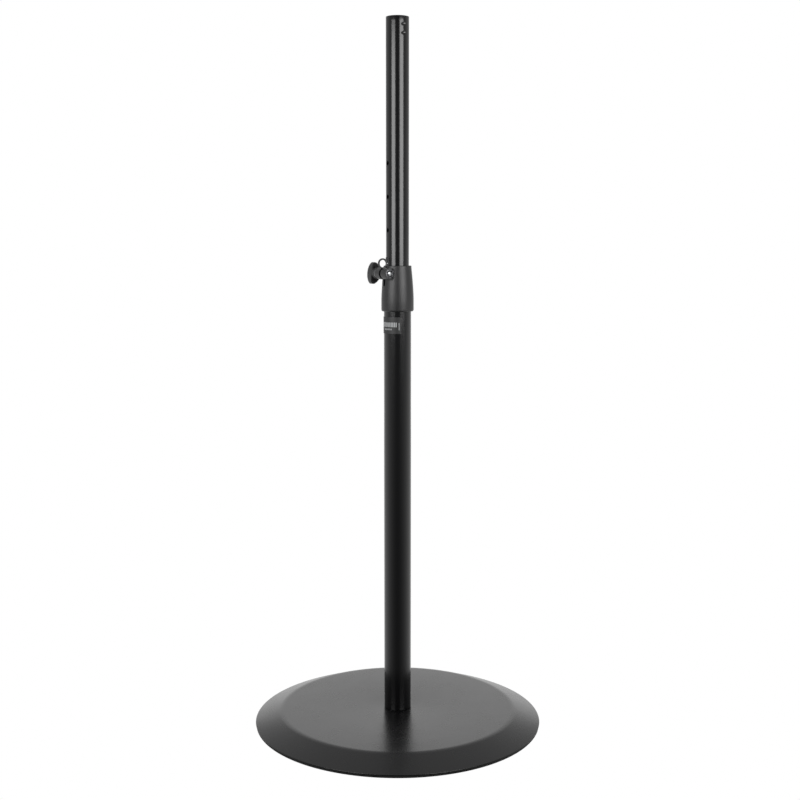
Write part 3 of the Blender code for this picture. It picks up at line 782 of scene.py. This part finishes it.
def make_upper_tube():
    """Upper tube with a row of pin holes and four crimps round the insert in its top."""
    bottom, top = low("upper_tube").z, high("upper_tube").z
    drops = (12 * MM, 25 * MM)
    dimples = [(CLAMP_AZIMUTH + side * math.pi / 2, top - drop) for drop in drops for side in (1, -1)]
    shape = pressed_tube(
        sizes().upper_radius, bottom, top, dimples, mouth=4.2 * MM, depth=0.9 * MM, flat=0.6
    )
    tube = add("upper_stand_tube", shape, finish_of(satin_powder_coat_on_steel_tube), 35)
    undrilled = 200 * MM
    below_pin = math.floor((PIN_HEIGHT - bottom - undrilled) / sizes().hole_pitch)
    grow(tube, hole_row_tree(), {
        "Count": sizes().hole_count, "Pitch": sizes().hole_pitch,
        "First Height": PIN_HEIGHT - below_pin * sizes().hole_pitch,
        "Hole Radius": sizes().hole_radius, "Drill Length": 2 * sizes().upper_radius + 2 * MM,
        "Azimuth": CLAMP_AZIMUTH,
    }, 35)
    hand_over(tube, "mast", "tube_coat", "upper_tube")


def make_top_insert():
    """Threaded plug in the top of the upper tube."""
    top, bottom = high("top_insert").z, low("top_insert").z
    outer, bore, pitch, depth, edge = high("top_insert").x, 4.3 * MM, 1.5 * MM, 28 * MM, 0.5 * MM
    floor = top - depth
    side = [(bore, height) for height in heights(floor + MM, top - MM, pitch / THREAD_ROWS)]
    outline = [
        (0, floor), (bore, floor), (bore, floor + MM), *side, (bore, top - MM), (bore + 0.9 * MM, top),
        (outer - edge, top), (outer, top - edge), (outer, bottom + edge), (outer - edge, bottom), (0, bottom),
    ]
    insert = add("threaded_top_insert", turned(outline, HUB_SIDES), finish_of(bright_zinc_plated_steel))
    cut_thread(insert, bore, pitch, -0.8 * MM, floor + MM, top - 0.5 * MM)
    hand_over(insert, "mast", "zinc_steel", "top_insert")


def make_bushes():
    """Acetal sleeve in the mouth of the lower tube, and the bush on the upper tube's lower end."""
    acetal = finish_of(turned_acetal)
    under, over = low("guide_bush").z, high("guide_bush").z
    sleeve, flange, edge = 18.7 * MM, high("guide_bush").x, 0.4 * MM
    bore, shoulder = sizes().upper_radius + GAP, over - 2 * MM
    guide = rounded([
        (bore, under, edge), (bore, over, edge), (flange, over, edge), (flange, shoulder, 0.3 * MM),
        (sleeve, shoulder, 0), (sleeve, under, edge),
    ], 4)
    hand_over(add("guide_sleeve", turned(guide, HUB_SIDES), acetal), "root", "bush_plastic", "guide_bush")

    under, over = low("glide_bush").z, high("glide_bush").z
    flange, spigot, bore = high("glide_bush").x, 15.2 * MM, 12 * MM
    shoulder = low("upper_tube").z - GAP
    glide = rounded([
        (bore, under, 0.6 * MM), (bore, over, 0.4 * MM), (spigot, over, 0.8 * MM), (spigot, shoulder, 0),
        (flange, shoulder, 0.3 * MM), (flange, under, 1 * MM),
    ], 5)
    hand_over(add("glide_foot", turned(glide, HUB_SIDES), acetal), "mast", "bush_plastic", "glide_bush")


# ---------------------------------------------------------------- label

def make_label():
    """Thin film bent round the lower tube, with plain bars and ticks printed on it."""
    under, over = low("tube_label").z, high("tube_label").z
    film_thickness, ink_thickness = 0.2 * MM, 0.08 * MM
    inner = sizes().lower_radius + GAP
    outer = inner + film_thickness
    half_angle, steps = math.radians(75), 90
    turns = [CLAMP_AZIMUTH + half_angle * (2 * k / steps - 1) for k in range(steps + 1)]
    outside = [(outer * math.cos(turn), outer * math.sin(turn)) for turn in turns]
    inside = [(inner * math.cos(turn), inner * math.sin(turn)) for turn in reversed(turns)]
    film = add("label_film_band", prism(outside + inside, under, over), finish_of(matte_polyester_film))
    hand_over(film, "root", "label_film", "tube_label")

    right_edge = math.degrees(CLAMP_AZIMUTH + half_angle)
    rows = (
        # name, bars, first azimuth, step, width, height, middle height
        ("label_bars", 13, right_edge - 21.5, 2.6, 1.7, 7.0, 631.6),
        ("label_ticks", 12, right_edge - 41.5, 1.3, 0.7, 2.4, 624.6),
        ("label_end_line", 1, right_edge - 9.5, 1.0, 1.0, 10.5, 628.9),
    )
    for name, count, azimuth, step, width, height, middle in rows:
        seed = add(name, bmesh.new(), finish_of(screen_printed_ink))
        grow(seed, mark_row_tree(), {
            "Count": count, "Radius": outer, "First Azimuth": math.radians(azimuth), "Step": -step * MM,
            "Bar Width": width * MM, "Bar Height": height * MM, "Bar Thickness": ink_thickness,
            "Middle Height": middle * MM,
        })
        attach(seed, "root")


# ---------------------------------------------------------------- clamp

def collar_outline():
    """Half section of the collar's outside: straight, then tapering ever faster, and round at its foot."""
    bottom, top = low("clamp_collar").z, high("clamp_collar").z
    taper_start, taper_top, taper, power = 668 * MM, top - 2 * MM, 3.6 * MM, 1.5
    widest = sizes().collar_radius
    steps = 24
    side = []
    for step in range(steps, -1, -1):
        share = step / steps
        side.append((widest - taper * share ** power, taper_start + share * (taper_top - taper_start), 0))
    return rounded([
        (0, top, 0), (side[0][0], top, 1.1 * MM), *side[1:], (widest, bottom, 2.6 * MM), (0, bottom, 0),
    ])


def collar_bore():
    """Half section of the hollow: wide round the lower tube, narrow round the upper one, edges eased."""
    bottom, top = low("clamp_collar").z, high("clamp_collar").z
    wide, narrow = sizes().lower_radius + GAP, sizes().upper_radius + GAP
    shoulder, ease = high("guide_bush").z + GAP, 0.5 * MM
    return [
        (0, top + MM), (narrow + ease + MM, top + MM), (narrow, top - ease), (narrow, shoulder),
        (wide, shoulder), (wide, bottom + ease), (wide + ease + MM, bottom - MM), (0, bottom - MM),
    ]


def slit_tool():
    """The slit through the collar's front wall and between its ears, with a round lower end."""
    half, floor, top = 2.3 * MM, 689.5 * MM, high("clamp_collar").z
    steps = 16
    turns = [math.pi * (1 + k / steps) for k in range(steps + 1)]
    end = [(half * math.cos(turn), floor + half + half * math.sin(turn)) for turn in turns]
    outline = [(half, top + MM), (-half, top + MM), *end]
    inner, outer = sizes().upper_radius - 2 * MM, SCREW_REACH + 12 * MM
    upright = Matrix(((0, 0, 1), (1, 0, 0), (0, 1, 0))).to_4x4()
    return placed(prism(outline, inner, outer), CLAMP @ upright)


def make_collar():
    """Moulded collar with its ears, bore, slit, nut pocket and stud hole."""
    nylon = finish_of(moulded_glass_filled_nylon)
    collar = add("moulded_collar", turned(collar_outline(), TUBE_SIDES), nylon)
    ear_radius, ear_end, ear_edge = 9 * MM, 16.6 * MM, 0.8 * MM
    pocket_across, pocket_floor, stud_hole = 13.6 * MM, -9.2 * MM, 4.4 * MM
    pocket = prism([(y, x) for x, y in hexagon(pocket_across)], -ear_end - MM, pocket_floor)
    carve(collar, [
        ("UNION", placed(rod(ear_radius, -ear_end, ear_end, ear_edge, HUB_SIDES), SCREW)),
        ("DIFFERENCE", turned(collar_bore(), TUBE_SIDES)),
        ("DIFFERENCE", slit_tool()),
        ("DIFFERENCE", placed(pocket, SCREW)),
        ("DIFFERENCE", placed(rod(stud_hole, -ear_end - MM, ear_end + MM), SCREW)),
    ])
    hand_over(collar, "root", "collar_plastic", "clamp_collar")


def make_clamp_screw():
    """M8 stud, its hexagon nut and the washer under the knob."""
    zinc = finish_of(bright_zinc_plated_steel)
    pitch, radius = 1.25 * MM, 4 * MM
    near, far, edge = -15.3 * MM, 29.7 * MM, 0.8 * MM
    side = [(radius, height) for height in heights(near + edge, far, pitch / THREAD_ROWS)]
    outline = [
        (0, far), (radius, far), *reversed(side), (radius, near + edge), (radius - edge, near), (0, near),
    ]
    stud = add("threaded_clamp_stud", turned(outline, SCREW_SIDES), zinc)
    cut_thread(stud, radius, pitch, 0.65 * MM, near + 0.3 * MM, far)
    hand_over(move_mesh(stud, SCREW), "knob", "zinc_steel", "clamp_stud")

    bottom, top, corner, across_flats, bore = -16 * MM, -9.5 * MM, 7.5 * MM, 13 * MM, 4.3 * MM
    ease, bevel, drop = 0.6 * MM, 0.9 * MM, 0.5 * MM
    side = [(bore, height) for height in heights(bottom + ease, top - ease, pitch / THREAD_ROWS)]
    outline = [
        (bore + ease, bottom), (bore, bottom + ease), *side, (bore, top - ease), (bore + ease, top),
        (corner - bevel, top), (corner, top - drop), (corner, bottom + drop), (corner - bevel, bottom),
    ]
    nut = add("hex_clamp_nut", turned(outline, SCREW_SIDES), finish_of(black_zinc_plated_steel))
    cut_thread(nut, bore, pitch, -0.5 * MM, bottom, top)
    turn = Matrix.Rotation(math.pi / 6, 4, "Z")
    move_mesh(nut, turn.inverted())
    hex_trimmed(nut, across_flats, bottom, top, 40)
    hand_over(move_mesh(nut, SCREW @ turn), "root", "black_zinc", "clamp_nut")

    inner, outer, near, far, edge = 4.3 * MM, 8.4 * MM, 16.9 * MM, 18.1 * MM, 0.3 * MM
    outline = ring_outline(inner, outer, near, far, edge, 4)
    washer = add("knob_plain_washer", placed(turned(outline, HUB_SIDES), SCREW), zinc)
    hand_over(washer, "screw", "zinc_steel", "knob_washer")


def knob_wing():
    """The knob's wing: rounded sections that narrow to both tips, swept back towards them."""
    half_length, half_width = sizes().wing_half_length, sizes().wing_half_width
    near_face, far_face, sweep, slices = 25 * MM, 40.3 * MM, 6.5 * MM, 48
    sections = []
    for step in range(slices + 1):
        share = math.sin(math.pi * (step / slices - 0.5))
        height = half_length * share
        width = half_width * math.sqrt(1 - (height / (half_length + 0.4 * MM)) ** 2)
        near = near_face + sweep * share ** 2
        corner = min(2.6 * MM, 0.7 * width)
        ring = rounded([(width, far_face, corner), (-width, far_face, corner),
                        (-width, near, corner * 0.6), (width, near, corner * 0.6)], 8)
        sections.append([(x, height, depth) for x, depth in ring])
    return lofted(sections)


def make_knob():
    """Moulded wing knob: a flanged hub under an oval wing, remeshed so that the wing grows out of the hub."""
    start, flange_end, neck_end, socket_end = 18.4 * MM, 21.6 * MM, 28 * MM, 30 * MM
    flange, neck, socket, edge = 9 * MM, 8.2 * MM, 4.3 * MM, 0.7 * MM
    hub = rounded([
        (0, start, 0), (flange, start, edge), (flange, flange_end, edge), (neck, flange_end, 0.3 * MM),
        (neck, neck_end, 0), (0, neck_end, 0),
    ])
    knob = add("moulded_wing_knob", knob_wing(), finish_of(moulded_glass_filled_nylon), 80)
    carve(knob, [("UNION", turned(hub, HUB_SIDES))], 80)
    remesh = knob.modifiers.new("moulding", "REMESH")
    remesh.mode = "VOXEL"
    remesh.voxel_size = 0.28 * MM
    smooth = knob.modifiers.new("fillets", "SMOOTH")
    smooth.factor = 0.5
    smooth.iterations = 5
    settle(knob, 180)
    carve(knob, [("DIFFERENCE", rod(socket, start - MM, socket_end))], 60)
    lean = Matrix.Rotation(math.radians(6.5), 4, "Z")
    hand_over(move_mesh(knob, SCREW @ lean), "knob", "knob_plastic", "clamp_knob")


# ---------------------------------------------------------------- locking pin

def make_locking_pin():
    """Steel pin through the upper tube, with a moulded finger ring on a saddle that lies on the tube."""
    radius, tail, shoulder, neck, neck_end = 3 * MM, -19 * MM, 17.2 * MM, 1.6 * MM, 19.7 * MM
    outline = rounded([
        (0, neck_end, 0), (neck, neck_end, 0.3 * MM), (neck, shoulder, 0), (radius, shoulder, 0.3 * MM),
        (radius, tail, 1 * MM), (0, tail, 0),
    ])
    along_out = PIN @ Matrix.Rotation(math.pi / 2, 4, "Y")
    pin = add("steel_locking_pin", placed(turned(outline, SCREW_SIDES), along_out),
              finish_of(bright_zinc_plated_steel))
    hand_over(pin, "pin", "zinc_steel", "locking_pin")

    half, centre = 1.3 * MM, Matrix.Translation((26.2 * MM, 0, 0))
    hole, rim, edge = 5.6 * MM, 8 * MM, 0.6 * MM
    band = rounded([(hole, -half, edge), (hole, half, edge), (rim, half, edge), (rim, -half, edge)], 6)
    inner, outer, half_width = sizes().upper_radius + GAP, 20.4 * MM, 3.7 * MM
    reach = math.asin(half_width / inner)
    steps = 16
    turns = [reach * (1 - 2 * k / steps) for k in range(steps + 1)]
    hollow = [(inner * math.cos(turn), -inner * math.sin(turn)) for turn in turns]
    front = rounded([(outer, half_width, MM), (outer, -half_width, MM), (inner, 0, 0)], 6)[:-1]
    saddle_foot, saddle_top = -3 * MM, 9.4 * MM
    saddle = placed(prism([*front, *hollow], saddle_foot, saddle_top), Matrix.Rotation(-math.pi / 2, 4, "X"))
    ring = add("moulded_finger_ring", placed(turned(band, HUB_SIDES), centre),
               finish_of(moulded_glass_filled_nylon))
    carve(ring, [
        ("UNION", saddle),
        ("DIFFERENCE", placed(rod(1.9 * MM, 17 * MM, 20 * MM), Matrix.Rotation(math.pi / 2, 4, "Y"))),
    ])
    hand_over(move_mesh(ring, PIN), "pin", "knob_plastic", "pin_ring")


# ---------------------------------------------------------------- stage

def soft_light(name, azimuth, distance, bottom, top, width, brightness):
    """A tall rectangular light that faces the stand. Azimuth 0 is the front, and positive is to the right."""
    light = bpy.data.lights.new(name, "AREA")
    light.shape = "RECTANGLE"
    light.size, light.size_y = width, top - bottom
    light.energy = brightness * math.pi * width * (top - bottom)
    lamp = new_object(name, light)
    lamp.visible_camera = False
    turn = math.radians(azimuth)
    place = Vector((distance * math.sin(turn), -distance * math.cos(turn), (bottom + top) / 2))
    lamp.location = place
    lamp.rotation_euler = (Vector((0, 0, place.z)) - place).to_track_quat("-Z", "Y").to_euler()


def front_to_back(tree, direction, start, end, first, last):
    """A strength that rises from the stand's front to its back."""
    depth = add_node(tree, "ShaderNodeSeparateXYZ", inputs={0: direction}).outputs["Y"]
    return map_range(tree, depth, start, end, first, last)


def seen_or_mirrored(tree, seen, mirrored):
    """One shader for the camera, and another for what the stand mirrors."""
    ray = add_node(tree, "ShaderNodeLightPath").outputs["Is Camera Ray"]
    return add_node(tree, "ShaderNodeMixShader", inputs={0: ray, 1: mirrored, 2: seen}).outputs[0]


def white_sweep_world():
    """White for the camera. In what the stand mirrors it is dark in front and pale behind."""
    world = bpy.data.worlds.new("studio_surround")
    world.use_nodes = True
    tree = world.node_tree
    tree.nodes.clear()
    direction = add_node(tree, "ShaderNodeTexCoord").outputs["Generated"]
    room = front_to_back(tree, direction, -0.75, 0.15, 0.1, 0.66)
    white = (1, 1, 1, 1)
    seen = add_node(tree, "ShaderNodeBackground", inputs={"Color": white, "Strength": 1.0})
    mirrored = add_node(tree, "ShaderNodeBackground", inputs={"Color": white, "Strength": room})
    surface = seen_or_mirrored(tree, seen.outputs[0], mirrored.outputs[0])
    add_node(tree, "ShaderNodeOutputWorld", inputs={"Surface": surface})
    bpy.context.scene.world = world


def make_floor():
    """Floor that is white for the camera, dark in front in what the stand mirrors, and clear from below."""
    half = 15.0
    mesh = bpy.data.meshes.new("studio_floor")
    corners = [(-half, -half, 0), (half, -half, 0), (half, half, 0), (-half, half, 0)]
    mesh.from_pydata(corners, [], [(0, 1, 2, 3)])
    finish, tree, place = new_finish("studio_floor")
    direction = add_node(tree, "ShaderNodeVectorMath", {"operation": "NORMALIZE"}, {0: place}).outputs[0]
    room = front_to_back(tree, direction, -1.0, 0.1, 0.12, 0.95)
    white = add_node(tree, "ShaderNodeEmission", inputs={"Strength": 1.0})
    mirrored = add_node(tree, "ShaderNodeEmission", inputs={"Strength": room})
    from_above = seen_or_mirrored(tree, white.outputs[0], mirrored.outputs[0])
    from_below = add_node(tree, "ShaderNodeNewGeometry").outputs["Backfacing"]
    clear = add_node(tree, "ShaderNodeBsdfTransparent")
    one_sided = add_node(tree, "ShaderNodeMixShader", inputs={
        0: from_below, 1: from_above, 2: clear.outputs[0]})
    close_finish(tree, one_sided.outputs[0])
    mesh.materials.append(finish)
    new_object("studio_floor", mesh)


def make_camera():
    """The view from the front, a little above half the stand's height, looking slightly down."""
    sensor_width, focal_length, tilt = 36, 56.925, 7.33
    lens_data = bpy.data.cameras.new("stand_camera")
    lens_data.sensor_width = sensor_width
    lens_data.lens = focal_length
    camera = new_object("stand_camera", lens_data)
    camera.location = (3.8 * MM, -1.9404, 0.7636)
    camera.rotation_euler = (math.radians(90 - tilt), 0, 0)
    bpy.context.scene.camera = camera


def make_stage():
    """White floor and surround, two tall soft lights in front, and a white sweep behind."""
    white_sweep_world()
    make_floor()
    lights = (
        # name, azimuth, distance, bottom, top, width, brightness
        ("left_softbox", -40.5, 1.2, 0.64, 1.28, 0.76, 6.8),
        ("right_softbox", 40.5, 1.2, 0.64, 1.36, 0.79, 6.8),
        ("sweep_behind", 180, 3.0, 0.0, 2.2, 3.0, 0.55),
    )
    for light in lights:
        soft_light(*light)
    make_camera()
    bpy.context.scene.view_settings.view_transform = "Standard"


# ---------------------------------------------------------------- operators and panel

class STAND_OT_stage(bpy.types.Operator):
    """Stage, lights and camera."""

    bl_idname = "stand.stage"
    bl_label = "Stage, lights and camera"

    def execute(self, context):
        make_stage()
        return {"FINISHED"}


class STAND_OT_base_plate(bpy.types.Operator):
    """Cast base plate."""

    bl_idname = "stand.base_plate"
    bl_label = "Base plate"

    def execute(self, context):
        make_base_plate()
        return {"FINISHED"}


class STAND_OT_floor_ring(bpy.types.Operator):
    """Rubber floor ring."""

    bl_idname = "stand.floor_ring"
    bl_label = "Floor ring"

    def execute(self, context):
        make_floor_ring()
        return {"FINISHED"}


class STAND_OT_base_fasteners(bpy.types.Operator):
    """Base bolt and its two washers."""

    bl_idname = "stand.base_fasteners"
    bl_label = "Base bolt and washers"

    def execute(self, context):
        make_base_fasteners()
        return {"FINISHED"}


class STAND_OT_lower_tube(bpy.types.Operator):
    """Lower tube."""

    bl_idname = "stand.lower_tube"
    bl_label = "Lower tube"

    def execute(self, context):
        make_lower_tube()
        return {"FINISHED"}


class STAND_OT_label(bpy.types.Operator):
    """Label film and its plain marks."""

    bl_idname = "stand.label"
    bl_label = "Label"

    def execute(self, context):
        make_label()
        return {"FINISHED"}


class STAND_OT_bushes(bpy.types.Operator):
    """Both bushes between the tubes."""

    bl_idname = "stand.bushes"
    bl_label = "Bushes"

    def execute(self, context):
        make_bushes()
        return {"FINISHED"}


class STAND_OT_collar(bpy.types.Operator):
    """Clamp collar."""

    bl_idname = "stand.collar"
    bl_label = "Clamp collar"

    def execute(self, context):
        make_collar()
        return {"FINISHED"}


class STAND_OT_clamp_screw(bpy.types.Operator):
    """Clamp stud, nut and washer."""

    bl_idname = "stand.clamp_screw"
    bl_label = "Clamp screw"

    def execute(self, context):
        make_clamp_screw()
        return {"FINISHED"}


class STAND_OT_knob(bpy.types.Operator):
    """Wing knob."""

    bl_idname = "stand.knob"
    bl_label = "Wing knob"

    def execute(self, context):
        make_knob()
        return {"FINISHED"}


class STAND_OT_upper_tube(bpy.types.Operator):
    """Upper tube."""

    bl_idname = "stand.upper_tube"
    bl_label = "Upper tube"

    def execute(self, context):
        make_upper_tube()
        return {"FINISHED"}


class STAND_OT_top_insert(bpy.types.Operator):
    """Threaded insert in the top."""

    bl_idname = "stand.top_insert"
    bl_label = "Top insert"

    def execute(self, context):
        make_top_insert()
        return {"FINISHED"}


class STAND_OT_locking_pin(bpy.types.Operator):
    """Locking pin and its finger ring."""

    bl_idname = "stand.locking_pin"
    bl_label = "Locking pin"

    def execute(self, context):
        make_locking_pin()
        return {"FINISHED"}


OPERATORS = [
    STAND_OT_stage,
    STAND_OT_base_plate,
    STAND_OT_floor_ring,
    STAND_OT_base_fasteners,
    STAND_OT_lower_tube,
    STAND_OT_label,
    STAND_OT_bushes,
    STAND_OT_collar,
    STAND_OT_clamp_screw,
    STAND_OT_knob,
    STAND_OT_upper_tube,
    STAND_OT_top_insert,
    STAND_OT_locking_pin,
]


class STAND_PT_pieces(bpy.types.Panel):
    """Sizes, colours and the steps that make the stand."""

    bl_label = "Telescopic stand"
    bl_idname = "STAND_PT_pieces"
    bl_space_type = "VIEW_3D"
    bl_region_type = "UI"
    bl_category = "Stand"

    def draw(self, context):
        column = self.layout.column()
        for group in (context.scene.stand_sizes, context.scene.stand_colours):
            for name in group.__annotations__:
                column.prop(group, name)
        for kind in OPERATORS:
            column.operator(kind.bl_idname)


CLASSES = [StandSizes, StandColours, *OPERATORS, STAND_PT_pieces]


def register():
    for kind in CLASSES:
        bpy.utils.register_class(kind)
    bpy.types.Scene.stand_sizes = PointerProperty(type=StandSizes)
    bpy.types.Scene.stand_colours = PointerProperty(type=StandColours)


def unregister():
    del bpy.types.Scene.stand_colours
    del bpy.types.Scene.stand_sizes
    for kind in reversed(CLASSES):
        bpy.utils.unregister_class(kind)


def main():
    register()
    for kind in OPERATORS:
        getattr(bpy.ops.stand, kind.bl_idname.split(".")[1])()


if __name__ == "__main__":
    main()
